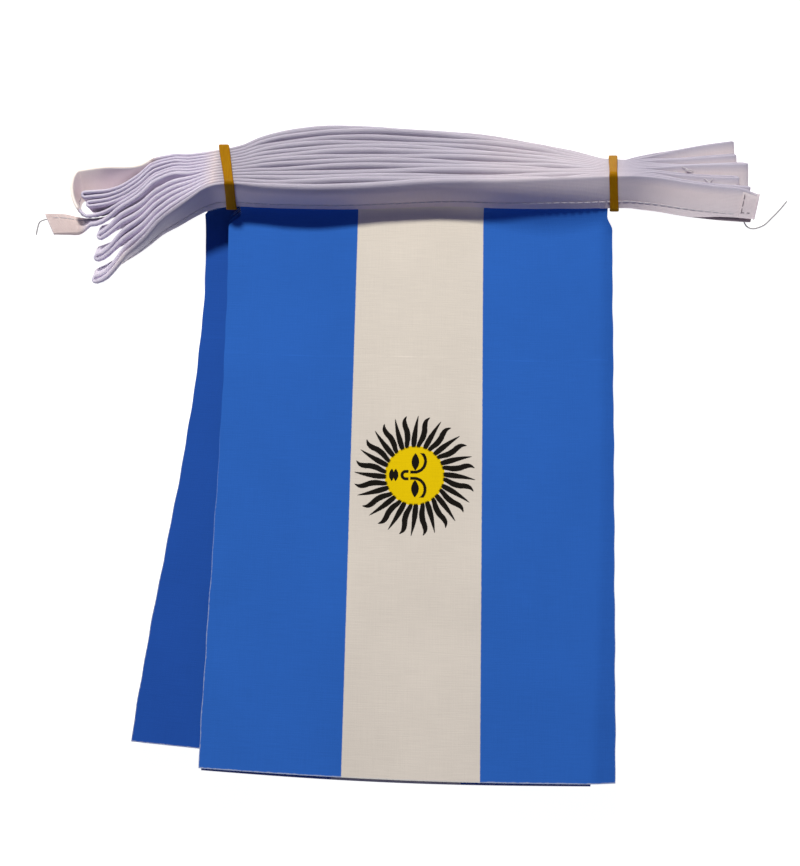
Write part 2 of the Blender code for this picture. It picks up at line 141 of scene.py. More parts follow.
# Each flag's corners, its width just below the tape, and how far its left and low edges curve.
Outline = namedtuple(
    "Outline",
    "top_left wide_left bow low_left low_left_y top_right wide_right low_right low_right_y sag")
OUTLINES = [Outline(*row) for row in (
    (-56.4, -60.7, 1.1, -67.7, -105.5, 72.6, 74.6, 72.1, -110.9, 1.4),
    (-56.4, -60.9, 1.3, -67.0, -106.3, 69.6, 69.2, 63.4, -111.6, 1.5),
    (-56.4, -60.8, 1.1, -67.2, -105.8, 69.8, 69.0, 62.8, -111.2, 1.4),
    (-56.4, -61.0, 1.3, -66.8, -105.2, 70.4, 69.4, 63.0, -110.6, 1.4),
    (-56.4, -60.8, 1.2, -67.0, -104.8, 72.2, 71.0, 64.6, -110.0, 1.2),
    (-56.4, -69.9, 4.7, -91.7, -97.2, 72.2, 71.2, 52.0, -109.0, 1.0),
    (-56.4, -69.2, 4.7, -90.6, -96.6, 72.2, 71.0, 53.0, -108.4, 1.0),
    (-56.4, -69.5, 4.6, -91.2, -96.8, 72.2, 71.0, 54.0, -107.8, 0.8),
    (-56.4, -69.0, 4.6, -90.2, -95.8, 72.2, 71.2, 55.0, -107.2, 0.8),
    (-56.4, -69.3, 4.7, -90.6, -95.2, 72.2, 71.0, 52.5, -106.6, 0.8),
    (-56.4, -68.8, 4.5, -89.6, -94.4, 72.2, 71.2, 53.5, -106.0, 0.6),
    (-56.4, -69.0, 4.6, -90.0, -94.0, 72.2, 71.0, 55.0, -105.4, 0.6),
    (-56.4, -68.6, 4.5, -89.2, -93.0, 72.2, 71.0, 54.0, -104.8, 0.6),
)]
NECK, SHOULDER = 2.2, 6.6             # a flag widens between these drops
FLAG_DROP = 198.0
FLAG_LEFT, FLAG_RIGHT = -56.4, 72.6   # flag cloth is sewn in between these
CREASE_TOP_X, CREASE_DRIFT, CREASE_SLOPE = 70.6, 6.4, 0.58
SWELL = 0.7                           # the pile of flags swells this much in its middle

# ---- sizes of the looks
LEAF = 0.28               # one layer of the ribbon
EDGE_HALF = 0.47          # half the folded ribbon's thickness at its open edge
GAPE = 0.16               # more of it at the hem, where the fold opens
RECEDE = 1.25             # the upper leaf is drawn back this far there
LOFT_BETWEEN = 1.12       # most half thickness of the rounded fold between the bands
LOFT_FAN = 0.92           # and beyond them
BOW = 0.8                 # the ribbon's face bulges this much between the bands
SEAM = 2.5                # the row of stitches above the open edge, in a shallow groove
GROOVE = 0.10
STATION = 2.2             # tape mesh spacing along its length
HEM_TURN = 0.55           # the hem turns back this far past the tape's end
HEM_OUT, HEM_IN = 0.40, 0.08          # its two faces above the tape's face
BAND_NEAR = SHEET / 2 + 0.22          # from the middle of the outer pass to the band
CLOTH = 0.32              # flag cloth
TUCK = 7.5                # flag cloth inside the fold
FLAG_WIDTH, FLAG_LENGTH = 136.0, 206.0
STITCH, STITCH_GAP, STITCH_DIAMETER = 2.5, 0.25, 0.40
STRIPE_TOP = (-15.05, 29.05)          # X of the front flag's stripe edges at the tape
STRIPE_LOW = (-20.0, 26.33)           # and at its free edge
PRESS_LINE = 53.0                     # drop of a faint pressed line across every flag

# Thread: loose loops on the fan, as rows of (x, across, proud) on a pass, and two stray
# ends, one from under the hem and one from the cut end, that run out on the surface.
LOOPS = (
    (5, ((95.6, 8.9, 0.0), (97.2, 9.9, 0.4), (98.8, 8.9, 0.5), (100.4, 7.9, 0.1))),
    (5, ((99.6, 11.3, 0.0), (101.2, 10.6, 0.5), (102.9, 9.2, 0.5), (104.6, 8.2, 0.0))),
    (5, ((100.4, 9.0, 0.1), (101.5, 9.9, 0.6), (102.9, 9.9, 0.6), (104.0, 9.2, 0.1))),
    (3, ((106.4, 11.2, 0.0), (107.6, 10.2, 0.5), (109.2, 9.0, 0.4), (110.6, 8.3, 0.0))),
    (3, ((107.2, 8.7, 0.0), (108.4, 9.7, 0.5), (109.5, 11.0, 0.3))),
)
STRAY_RIGHT = ((123.4, 95.5, 0.5), (124.6, 89.6, 0.4), (126.0, 86.6, 0.3), (128.0, 85.8, 0.3),
               (131.6, 86.8, 0.3), (135.5, 90.2, 0.3), (138.5, 93.3, 0.3), (141.1, 96.4, 0.3))
STRAY_LEFT = ((-127.6, 89.2, 1.5), (-129.9, 88.9, 1.0), (-131.7, 88.2, 0.4), (-132.4, 86.0, 0.3),
              (-132.8, 83.5, 0.3))

# Colours, linear.
TAPE_COLOUR = (0.760, 0.650, 0.695)
FOLD_SHADE_COLOUR = (0.455, 0.413, 0.505)   # painted shade: the greyed lilac where the stacked folds shade each other
FAN_SHADE_COLOUR = (0.690, 0.610, 0.770)    # painted shade: the cooler violet of the left fan in shade
END_COLOUR = (0.560, 0.440, 0.435)    # the warm cut end
LOOP_GLOW_COLOUR = (1.000, 0.900, 0.830)   # painted light: the big loop glows as if light came through the cloth
EDGE_COLOUR = (0.600, 0.520, 0.560)
# painted shade inside the fold
INSIDE_SHADE_COLOUR = (0.240, 0.210, 0.230)
BLUE = (0.0262, 0.1300, 0.5080)
WHITE = (0.750, 0.680, 0.590)
YELLOW = (0.850, 0.590, 0.001)
INK = (0.010, 0.008, 0.006)
BLUE_BACK = (0.0165, 0.0830, 0.3900)
WHITE_BACK = (0.640, 0.590, 0.540)
YELLOW_BACK = (0.500, 0.350, 0.040)
INK_BACK = (0.050, 0.045, 0.050)
FRAY_COLOUR = (0.60, 0.62, 0.64)
RUBBER_LIGHT, RUBBER_DARK = (0.39, 0.185, 0.001), (0.29, 0.125, 0.001)


# ---- interpolation
def ease(table, column, x):
    """Smooth value of one column at x, never beyond the rows on either side."""
    rows = sorted(table, key=lambda row: row.x)
    xs = np.array([row.x for row in rows], float)
    ys = np.array([getattr(row, column) for row in rows], float)
    x = np.clip(np.asarray(x, float), xs[0], xs[-1])
    k = np.clip(np.searchsorted(xs, x, side="right") - 1, 0, len(xs) - 2)
    step = np.diff(xs)
    rise = np.diff(ys) / step
    slope = np.concatenate((rise[:1], np.zeros(len(xs) - 2), rise[-1:]))
    a, b = rise[:-1], rise[1:]
    same = a * b > 0
    slope[1:-1][same] = 2 * a[same] * b[same] / (a[same] + b[same])
    s = (x - xs[k]) / step[k]
    return (ys[k] * (1 + 2 * s) * (1 - s) ** 2 + slope[k] * step[k] * s * (1 - s) ** 2
            + ys[k + 1] * s * s * (3 - 2 * s) - slope[k + 1] * step[k] * s * s * (1 - s))


def mix(a, b, s):
    return a + (b - a) * s


def soft_step(s):
    s = np.clip(s, 0.0, 1.0)
    return s * s * (3 - 2 * s)


def unit(v):
    return v / np.maximum(np.linalg.norm(v, axis=-1, keepdims=True), 1e-9)


# ---- the tape
def across_and_down(heading, tilt):
    """Directions across the tape, from its open edge to its fold, and down to the next pass."""
    turn, lean = np.radians(heading), np.radians(tilt)
    zero = np.zeros(np.broadcast(turn, lean).shape)
    level = np.stack((-np.sin(turn) + zero, np.cos(turn) + zero, zero), -1)
    up = np.array((0.0, 0.0, 1.0))
    c, s = (np.cos(lean) + zero)[..., None], (np.sin(lean) + zero)[..., None]
    return level * c + up * s, level * s - up * c


def stray(number, x):
    """How far a pass lies out of line: along its own width, and towards the next pass."""
    open_run = soft_step((x + 54) / 14) * soft_step((66 - x) / 14)
    fanned = soft_step((-72 - x) / 14) * 0.7 + soft_step((x - 84) / 14) * 0.5
    along = (0.50 * np.sin(x / 21.0 + 1.9 * number) + 0.35 * np.sin(x / 9.5 + 4.1 * number)
             + 0.55 * math.sin(2.6 * number * number + 1.0))
    deep = 0.13 * np.sin(x / 27.0 + 2.3 * number) + 0.07 * math.sin(5.1 * number)
    return along * (0.8 * open_run + 0.6 * fanned), deep * (open_run + 0.6 * fanned)


def between_frame(number, x):
    """Open edge, directions across and down, and pitch of a pass between the bands."""
    across, down = across_and_down(0.0 * x, ease(BETWEEN, "tilt", x))
    pitch = ease(BETWEEN, "pitch", x)
    front = np.stack((x, ease(BETWEEN, "edge", x), TOP_FLAG_Z + ease(BETWEEN, "lift", x)), -1)
    return front + down * (number * pitch)[:, None], across, down, pitch


def fan_frame(number, x, table):
    """The same beyond the bands, where table's fan spreads the passes."""
    tilt, heading = ease(table, "tilt", x), ease(table, "heading", x)
    behind = number - MIDDLE_PASS
    across, _ = across_and_down(heading, tilt)
    _, down = across_and_down(heading, np.minimum(tilt, STAND))
    pitch = ease(table, "back_pitch" if behind > 0 else "pitch", x)
    stacked = slid = behind
    lean = tilt
    if table is LEFT_FAN:
        stacked = mix(behind, LEFT_PLACE[number], soft_step((-95.0 - x) / 14))
        lean = tilt + LEFT_LEAN[number] * soft_step((-98.0 - x) / 12)
        if number == PASSES - 1:
            lean = lean - FLAP_LEAN * soft_step((-86.0 - x) / 20)
    else:
        slid = mix(behind, RIGHT_PLACE[number], soft_step((x - 82.0) / 22))
    edge = np.stack((x, ease(table, "y", x), ease(table, "z", x)), -1)
    edge = edge + down * (pitch * stacked)[:, None]
    edge = edge + across * (ease(table, "slide", x) * slid)[:, None]
    if behind < 0:
        edge = edge - down * ease(table, "gap", x)[:, None]
    across, _ = across_and_down(heading + ease(table, "splay", x) * min(behind, 1.0), lean)
    return edge, across, down, pitch


def pass_frame(number, x):
    """Open edge, direction across, and pitch to the next pass, at X along a pass."""
    x = np.asarray(x, float)
    edge, across, pitch = np.zeros(x.shape + (3,)), np.zeros(x.shape + (3,)), np.zeros(x.shape)
    left, right = x < LEFT_START, x > RIGHT_START
    for here, table in ((~left & ~right, None), (right, RIGHT_FAN), (left, LEFT_FAN)):
        if not here.any():
            continue
        at = x[here]
        found = between_frame(number, at) if table is None else fan_frame(number, at, table)
        spot, across[here], down, pitch[here] = found
        slide, deep = stray(number, at)
        edge[here] = spot + across[here] * slide[:, None] + down * deep[:, None]
    return edge, across, pitch


def reach_of(number, folds, loose_reach):
    """The X that a pass runs to: its fold's, or its own where no fold takes it up."""
    for fold in folds:
        if number in (fold.first, fold.second):
            return fold.reach
    return loose_reach


def loft_of(number, x, pitch):
    """Half thickness of the rounded fold, as full as its neighbours let it be."""
    between = soft_step((x - LEFT_START) / 6) * soft_step((RIGHT_START - x) / 6)
    most = mix(LOFT_FAN, LOFT_BETWEEN, between) * (1 + 0.07 * math.sin(3.7 * number + 0.8))
    gap = np.full(np.shape(x), 9.0)
    mine = stray(number, x)[1]
    for other in (number - 1, number + 1):
        if 0 <= other < PASSES:
            apart = pitch + (stray(other, x)[1] - mine) * (other - number)
            gap = np.minimum(gap, apart)
    return np.maximum(np.minimum(most, gap / 2 - 0.05), EDGE_HALF)


def pass_line(number, leftward):
    """Stations of one pass: open edge, across, half thickness of the fold."""
    left_reach = reach_of(number, LEFT_FOLDS, CUT_END[0].x)
    right_reach = reach_of(number, RIGHT_FOLDS, HEM_REACH)
    count = max(int((right_reach - left_reach) / STATION), 2)
    x = np.linspace(right_reach, left_reach, count + 1)
    edge, across, pitch = pass_frame(number, x)
    loft = loft_of(number, x, pitch)
    if number == CUT_PASS:
        tail_x = np.linspace(CUT_END[0].x, CUT_END[-1].x, 13)[1:]
        tail = np.stack((tail_x, ease(CUT_END, "y", tail_x), ease(CUT_END, "z", tail_x)), -1)
        w, _ = across_and_down(ease(CUT_END, "heading", tail_x), ease(CUT_END, "tilt", tail_x))
        edge, across = np.concatenate((edge, tail)), np.concatenate((across, w))
        loft = np.concatenate((loft, np.linspace(loft[-1], EDGE_HALF, len(tail_x))))
    x = edge[:, 0]
    lines = (edge, across, loft, np.full(len(edge), number), x)
    return [line if leftward else line[::-1] for line in lines]


def turn_line(last_run, next_run, steps=12):
    """Half turn from one pass to the next one along the string."""
    last, first = last_run[0][-1], next_run[0][0]
    out = unit(last - last_run[0][-2]) + unit(first - next_run[0][1])
    half = (first - last) / 2
    out = unit(out - half * (out @ half / (half @ half))) * np.linalg.norm(half)
    angle = (np.pi * np.arange(1, steps) / steps)[:, None]
    edge = (first + last) / 2 - half * np.cos(angle) + out * np.sin(angle)
    share = angle / np.pi
    across = unit(mix(last_run[1][-1], next_run[1][0], share))
    loft = np.full(steps - 1, max(min(0.72 * np.linalg.norm(half), 0.6), EDGE_HALF))
    number = np.full(steps - 1, -1)
    return [edge, across, loft, number, edge[:, 0]]


def tape_line():
    """Stations of the whole tape, from its hem to its cut end; a turn's are numbered -1."""
    runs = [pass_line(number, k % 2 == 0) for k, number in enumerate(STRING_ORDER)]
    parts = [runs[0]]
    for before, after in zip(runs, runs[1:]):
        parts += [turn_line(before, after), after]
    edge, across, loft, number, x = (np.concatenate([p[k] for p in parts]) for k in range(5))
    ends = np.concatenate((loft[:1].repeat(2), loft, loft[-1:].repeat(2)))
    smooth = np.convolve(ends, np.ones(5) / 5, "valid")
    loft = np.minimum(loft, smooth)
    ahead = np.concatenate((edge[1:] - edge[:-1], edge[-1:] - edge[-2:-1]))
    back = np.concatenate((edge[1:2] - edge[:1], edge[1:] - edge[:-1]))
    along = unit(unit(ahead) + unit(back))
    normal = unit(np.cross(along, across))
    middle = edge + across * (TAPE_WIDTH / 2)
    length = np.concatenate(([0.0], np.cumsum(np.linalg.norm(np.diff(middle, axis=0), axis=1))))
    facing = np.where(along[:, 0] > 0, 1.0, -1.0)
    return dict(edge=edge, across=across, along=along, normal=normal, loft=loft, number=number,
                x=x, length=length, facing=facing, width=width_of(number, x))


def half_thickness(loft, open_half, w):
    """Half thickness of the folded ribbon at w across it, pinched along the seam."""
    pinch = GROOVE * np.exp(-((w - SEAM) / 0.45) ** 2)
    return mix(open_half, loft, soft_step((w - 2.6) / 7.0)) - pinch


def bow_of(x, w):
    """How far the ribbon's face bulges away from the pile, between the bands."""
    free = soft_step((x + 66) / 14) * soft_step((80 - x) / 14)
    return BOW * free * np.sin(np.pi * np.clip(w, 0.0, TAPE_WIDTH) / TAPE_WIDTH)


def width_of(number, x):
    """Width of the folded tape: its turned end is drawn in a little."""
    drawn_in = np.interp(x, (HEM_REACH - HEM_LENGTH - 0.5, HEM_REACH), (TAPE_WIDTH, HEM_WIDTH))
    return np.where(number == 0, drawn_in, TAPE_WIDTH)


def ribbon_profile(loft, open_half, x, facing, width):
    """Across and normal offsets of the folded ribbon, outside then inside: arrays by station."""
    shoulder = width - loft
    flat = (0.0, 0.15, 0.205, 0.23, 0.26, 0.34, 0.52, 0.76, 1.0)
    recede = RECEDE * soft_step((open_half - EDGE_HALF) / GAPE)
    rows = {"outer": ([], []), "inner": ([], [])}
    for side in (1, -1):
        order = flat if side == 1 else flat[::-1]
        for share in order:
            w = shoulder * share + (recede * (1 - share) if side == -1 else 0.0)
            outside = half_thickness(loft, open_half, w)
            rows["outer"][0].append(w)
            rows["outer"][1].append(side * outside)
            rows["inner"][0].append(w)
            rows["inner"][1].append(side * (outside - LEAF))
        if side == 1:
            for k in range(1, 7):
                angle = math.pi * (0.5 - k / 7)
                for key, radius in (("outer", loft), ("inner", loft - LEAF)):
                    rows[key][0].append(shoulder + radius * math.cos(angle))
                    rows[key][1].append(radius * math.sin(angle))
    found = []
    for w, n in (rows["outer"], rows["inner"]):
        w, n = np.stack(w, 1), np.stack(n, 1)
        found.append((w, n + facing[:, None] * bow_of(x[:, None], w)))
    return found


# ---- meshes
def place(points):
    """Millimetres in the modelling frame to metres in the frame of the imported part."""
    return (np.asarray(points, float) - CENTRE) * MM


def make_mesh(name, verts, faces, materials, which=None, cloth=None, smooth=True):
    """A mesh object from points in mm; cloth holds its flat coordinates, in mm."""
    mesh = bpy.data.meshes.new(name)
    mesh.from_pydata(place(verts).tolist(), [], [list(map(int, f)) for f in faces])
    for material in materials:
        mesh.materials.append(material)
    if which is not None:
        mesh.polygons.foreach_set("material_index", np.asarray(which, np.int32))
    mesh.polygons.foreach_set("use_smooth", np.full(len(mesh.polygons), smooth))
    if cloth is not None:
        data = mesh.attributes.new("cloth", "FLOAT_VECTOR", "POINT")
        data.data.foreach_set("vector", np.asarray(cloth, np.float32).ravel())
    mesh.update()
    if smooth:
        mesh.set_sharp_from_angle(angle=math.radians(48))
    item = bpy.data.objects.new(name, mesh)
    bpy.context.scene.collection.objects.link(item)
    return item


def strip_faces(rings, size, closed=True):
    """Quads between rings of the same number of points, one ring after another."""
    a = np.arange(rings - 1)[:, None] * size + np.arange(size if closed else size - 1)[None, :]
    step = (np.arange(size) + 1) % size if closed else np.arange(1, size)
    b = np.arange(rings - 1)[:, None] * size + step[None, :]
    return np.stack((a, b, b + size, a + size), -1).reshape(-1, 4)


def shell_faces(grid):
    """Faces of a thin sheet on a grid of upper points: upper side, underside and rim.

    The under points follow the upper ones, in the same order.
    """
    under = grid.size
    upper = np.stack((grid[:-1, :-1], grid[1:, :-1], grid[1:, 1:], grid[:-1, 1:]), -1).reshape(-1, 4)
    ring = list(grid[0]) + list(grid[1:, -1]) + list(grid[-1, -2::-1]) + list(grid[-2:0:-1, 0])
    rim = np.array([(a, b, b + under, a + under) for a, b in zip(ring, ring[1:] + ring[:1])])
    return upper, upper[:, ::-1] + under, rim


def tube_points(path, radius, sides):
    """Rings of a round thread along a path; radius may change along it."""
    path = np.asarray(path, float)
    along = unit(np.gradient(path, axis=0))
    side = unit(np.cross(along, (0.13, 0.21, 0.97)))
    other = np.cross(along, side)
    angle = 2 * np.pi * np.arange(sides) / sides
    ring = side[:, None] * np.cos(angle)[None, :, None] + other[:, None] * np.sin(angle)[None, :, None]
    return (path[:, None] + ring * np.broadcast_to(radius, (len(path),))[:, None, None]).reshape(-1, 3)


def tubes(paths, radius, sides):
    """Points and faces of several capped threads."""
    points, faces, base = [], [], 0
    for path in paths:
        path = np.asarray(path, float)
        count = len(path)
        taper = np.ones(count)
        taper[0] = taper[-1] = 0.45
        points.append(tube_points(path, radius * taper, sides))
        faces += [tuple(f + base) for f in strip_faces(count, sides)]
        faces.append(tuple(base + k for k in reversed(range(sides))))
        faces.append(tuple(base + (count - 1) * sides + k for k in range(sides)))
        base += count * sides
    return np.concatenate(points), faces


def curl(points, count):
    """A smooth line through a few given points."""
    points = np.asarray(points, float)
    t = np.concatenate(([0.0], np.cumsum(np.linalg.norm(np.diff(points, axis=0), axis=1))))
    Row = namedtuple("Row", "x a b c")
    table = [Row(s, *p) for s, p in zip(t, points)]
    at = np.linspace(0, t[-1], count)
    return np.stack([ease(table, column, at) for column in "abc"], -1)


# ---- shader helpers
class Value:
    """A number in a material's node tree, so that patterns can be written as sums."""

    def __init__(self, tree, socket):
        self.tree, self.socket = tree, socket

    def math(self, operation, *others, clamp=False):
        node = self.tree.nodes.new("ShaderNodeMath")
        node.operation, node.use_clamp = operation, clamp
        for k, other in enumerate((self,) + others):
            if isinstance(other, Value):
                self.tree.links.new(other.socket, node.inputs[k])
            else:
                node.inputs[k].default_value = float(other)
        return Value(self.tree, node.outputs[0])

    def __add__(self, other):
        return self.math("ADD", other)

    def __sub__(self, other):
        return self.math("SUBTRACT", other)

    def __rsub__(self, other):
        return (self * -1.0) + other

    def __mul__(self, other):
        return self.math("MULTIPLY", other)

    def __truediv__(self, other):
        return self.math("DIVIDE", other)

    __radd__, __rmul__ = __add__, __mul__

    def within(self, edge, soft):
        """1 where the number is below edge, 0 above it, over a soft border."""
        return ((edge - self) / soft).math("ADD", 0.5, clamp=True)

    def abs(self):
        return self.math("ABSOLUTE")

    def wrap(self, period):
        return self.math("WRAP", period / 2, -period / 2)

    def curve(self, rows):
        """The number read off a line through rows of (0 to 1, value), values 0 to 1."""
        node = self.tree.nodes.new("ShaderNodeFloatCurve")
        line = node.mapping.curves[0]
        while len(line.points) < len(rows):
            line.points.new(0.5, 0.5)
        for point, row in zip(line.points, rows):
            point.location = row
        node.mapping.update()
        self.tree.links.new(self.socket, node.inputs["Value"])
        return Value(self.tree, node.outputs[0])


def either(*values):
    """The largest of some masks."""
    found = values[0]
    for value in values[1:]:
        found = found.math("MAXIMUM", value)
    return found


def set_inputs(node, values):
    for key, value in values.items():
        node.inputs[key].default_value = value


def new_material(name, colour, roughness):
    material = bpy.data.materials.new(name)
    material.use_nodes = True
    shader = material.node_tree.nodes["Principled BSDF"]
    set_inputs(shader, {"Base Color": (*colour, 1.0), "Roughness": roughness})
    return material, material.node_tree, shader


def cloth_axes(tree):
    """The cloth's own flat coordinates, which make_mesh keeps at every point."""
    node = tree.nodes.new("ShaderNodeAttribute")
    node.attribute_name = "cloth"
    split = tree.nodes.new("ShaderNodeSeparateXYZ")
    tree.links.new(node.outputs["Vector"], split.inputs[0])
    return [Value(tree, split.outputs[k]) for k in range(3)]


def object_axes(tree):
    """The object's coordinates, in mm."""
    node = tree.nodes.new("ShaderNodeTexCoord")
    split = tree.nodes.new("ShaderNodeSeparateXYZ")
    tree.links.new(node.outputs["Object"], split.inputs[0])
    return [Value(tree, split.outputs[k]) * 1000.0 for k in range(3)]


def noise(tree, axes, detail=2.0, roughness=0.5):
    join = tree.nodes.new("ShaderNodeCombineXYZ")
    for k, axis in enumerate(axes):
        if isinstance(axis, Value):
            tree.links.new(axis.socket, join.inputs[k])
        else:
            join.inputs[k].default_value = axis
    node = tree.nodes.new("ShaderNodeTexNoise")
    set_inputs(node, {"Scale": 1.0, "Detail": detail, "Roughness": roughness})
    tree.links.new(join.outputs[0], node.inputs["Vector"])
    return Value(tree, node.outputs[0])


def blend(tree, share, low, high):
    """Colour between low and high, each a colour or a socket."""
    node = tree.nodes.new("ShaderNodeMix")
    node.data_type = "RGBA"
    tree.links.new(share.socket, node.inputs["Factor"])
    for key, colour in (("A", low), ("B", high)):
        socket = [s for s in node.inputs if s.name == key and s.type == "RGBA"][0]
        if isinstance(colour, tuple):
            socket.default_value = (*colour, 1.0)
        else:
            tree.links.new(colour, socket)
    return [s for s in node.outputs if s.type == "RGBA"][0]


def shade(tree, colour, amount):
    """A colour made lighter or darker by amount, a number about 1."""
    node = tree.nodes.new("ShaderNodeVectorMath")
    node.operation = "SCALE"
    tree.links.new(colour, node.inputs[0])
    tree.links.new(amount.socket, node.inputs["Scale"])
    return node.outputs[0]


def raise_by(tree, shader, height, distance_mm, strength=1.0):
    node = tree.nodes.new("ShaderNodeBump")
    set_inputs(node, {"Strength": strength, "Distance": distance_mm * MM})
    tree.links.new(height.socket, node.inputs["Height"])
    tree.links.new(node.outputs[0], shader.inputs["Normal"])


# ---- the flag print
SUN_U, SUN_V = 67.55, 95.0       # middle of the sun on the cloth
SUN_INNER, SUN_OUTER = 10.1, 20.9
SUN_RAYS = 16                   # straight ones, and as many wavy ones between them
SUN_TURN = -2.5                 # degrees
SLANT = 5.5                     # degrees that each ray's root is ahead of its tip
Ray = namedtuple("Ray", "reach straight wavy bend")
# Half widths in mm and bend in degrees, root to tip.
RAYS = [Ray(*row) for row in (
    (0.00, 0.66, 0.60, 2.0),
    (0.10, 0.90, 0.84, 1.2),
    (0.30, 0.97, 1.00, -0.9),
    (0.50, 0.80, 0.99, -0.5),
    (0.70, 0.55, 0.92, 1.6),
    (0.85, 0.33, 0.70, 2.2),
    (0.95, 0.17, 0.40, 1.1),
    (1.00, 0.05, 0.05, 0.0),
)]
Eye = namedtuple("Eye", "x y half_wide half_long")
EYE = Eye(0.15, 4.65, 1.32, 3.05)
MOUTH = (Eye(-7.95, 0.0, 0.92, 2.2), Eye(-6.55, 0.0, 0.92, 2.2))
BROW_X, BROW_Y, BROW_RADIUS = -0.2, 4.9, 3.83
NOSE_X, NOSE_END, NOSE_RADIUS = -3.1, -2.15, 1.28
LINE = 0.52                     # half width of the face's lines
BROW_END = 7.7                  # the brows stop this far out
BRIDGE_SIDE, BRIDGE_LOW = 1.08, -1.55


def sun_masks(tree, u, v):
    """Where the print is ink, and where it is the yellow disc; the head's top points to +u."""
    x, y = u - SUN_U, SUN_V - v
    radius = (x * x + y * y).math("SQRT")
    angle = y.math("ARCTAN2", x) * (180 / math.pi) - SUN_TURN
    reach = ((radius - SUN_INNER) / (SUN_OUTER - SUN_INNER)).math("ADD", 0.0, clamp=True)
    present = (radius * -1.0).within(0.3 - SUN_INNER, 0.5) * radius.within(SUN_OUTER, 0.2)
    slant = (1.0 - reach) * SLANT
    rays = []
    period = 360.0 / SUN_RAYS
    for column, start, bends in (("straight", 0.0, False), ("wavy", period / 2, True)):
        half = reach.curve([(row.reach, getattr(row, column)) for row in RAYS])
        turned = angle - slant - start
        if bends:
            bend = reach.curve([(row.reach, 0.5 + row.bend / 10) for row in RAYS])
            turned = turned - (bend * 10.0 - 5.0)
        aside = (turned.wrap(period) * (math.pi / 180) * radius).abs()
        rays.append(aside.within(half, 0.16))
    ray = either(*rays) * present
    mirror = (y - 0.1).abs()

    def almond(shape, down):
        """A pointed oval, for the eyes and the lips."""
        bulge = (down - shape.y) / shape.half_long
        return ((x - shape.x).abs() + bulge * bulge * shape.half_wide).within(shape.half_wide, 0.14)

    def line_at(distance):
        return distance.abs().within(LINE, 0.14)

    bx, by = x - BROW_X, mirror - BROW_Y
    ring = (bx * bx + by * by).math("SQRT") - BROW_RADIUS
    brow = line_at(ring) * (x * -1.0).within(0.25, 0.1) * mirror.within(BROW_END, 0.2)
    bridge = line_at(mirror - BRIDGE_SIDE) * (x * -1.0).within(-BRIDGE_LOW, 0.1) * x.within(0.0, 0.1)
    nx = (x - NOSE_X).math("MINIMUM", 0.0)
    nose = line_at((nx * nx + mirror * mirror).math("SQRT") - NOSE_RADIUS) * x.within(NOSE_END, 0.1)
    face = either(almond(EYE, mirror), brow, bridge, nose, *(almond(lobe, mirror) for lobe in MOUTH))
    disc = radius.within(SUN_INNER + 0.25, 0.12)
    return either(ray, face), disc


def flag_material(name, reverse):
    """Printed plain-weave cloth; reverse is the side that the colour only soaks through to."""
    blue, white, yellow, ink = (
        (BLUE_BACK, WHITE_BACK, YELLOW_BACK, INK_BACK) if reverse else (BLUE, WHITE, YELLOW, INK))
    material, tree, shader = new_material(name, blue, 0.82)
    u, v, _ = cloth_axes(tree)
    third = FLAG_WIDTH / 3
    ragged = noise(tree, (u * 0.8, v * 0.8, 0.0), 2.0)
    stripe = ((u - FLAG_WIDTH / 2).abs() + (ragged - 0.5) * 0.18).within(third / 2, 0.22)
    ground = blend(tree, stripe, blue, white)
    ink_mask, disc = sun_masks(tree, u + (ragged - 0.5) * 0.12, v)
    print_colour = blend(tree, disc, ground, yellow)
    print_colour = blend(tree, ink_mask, print_colour, ink)
    slub = noise(tree, (u * 0.11, v * 2.6, 3.0), 3.0, 0.6)
    warp = noise(tree, (u * 2.4, v * 0.09, 7.0), 2.0, 0.5)
    cloud = noise(tree, (u * 0.035, v * 0.03, 1.0), 2.0, 0.5)
    tone = (slub - 0.5) * 0.16 + (warp - 0.5) * 0.08 + (cloud - 0.5) * 0.16 + 1.0
    broken = (noise(tree, (u * 0.09, 5.0, 0.0), 2.0, 0.6) - 0.40).math("MULTIPLY", 3.0, clamp=True)
    crease = (v - PRESS_LINE - u * 0.004).abs().within(0.22, 0.25) * broken
    tone = tone + crease * 0.13
    rim_u = u.math("MINIMUM", FLAG_WIDTH - u)
    fray = noise(tree, (u * 0.7, v * 0.7, 9.0), 2.0) - 0.5
    low_down = ((v - 90.0) / 60.0).math("MULTIPLY_ADD", 0.85, 0.15, clamp=True)
    side_rim = (rim_u + fray * 0.5).within(0.18, 0.25) * low_down
    rim = either(side_rim, (FLAG_DROP - v + fray * 0.6).within(0.34, 0.3))
    colour = blend(tree, rim * 0.55, shade(tree, print_colour, tone), FRAY_COLOUR)
    tree.links.new(colour, shader.inputs["Base Color"])
    weave = (u * (2 * math.pi / 0.46)).math("SINE") * (v * (2 * math.pi / 0.42)).math("SINE")
    height = weave * 0.35 + (slub - 0.5) * 1.6 + (warp - 0.5) * 0.8 + crease * 0.8
    raise_by(tree, shader, height, 0.05, 0.55)
    shader.inputs["Specular IOR Level"].default_value = 0.06
    return material


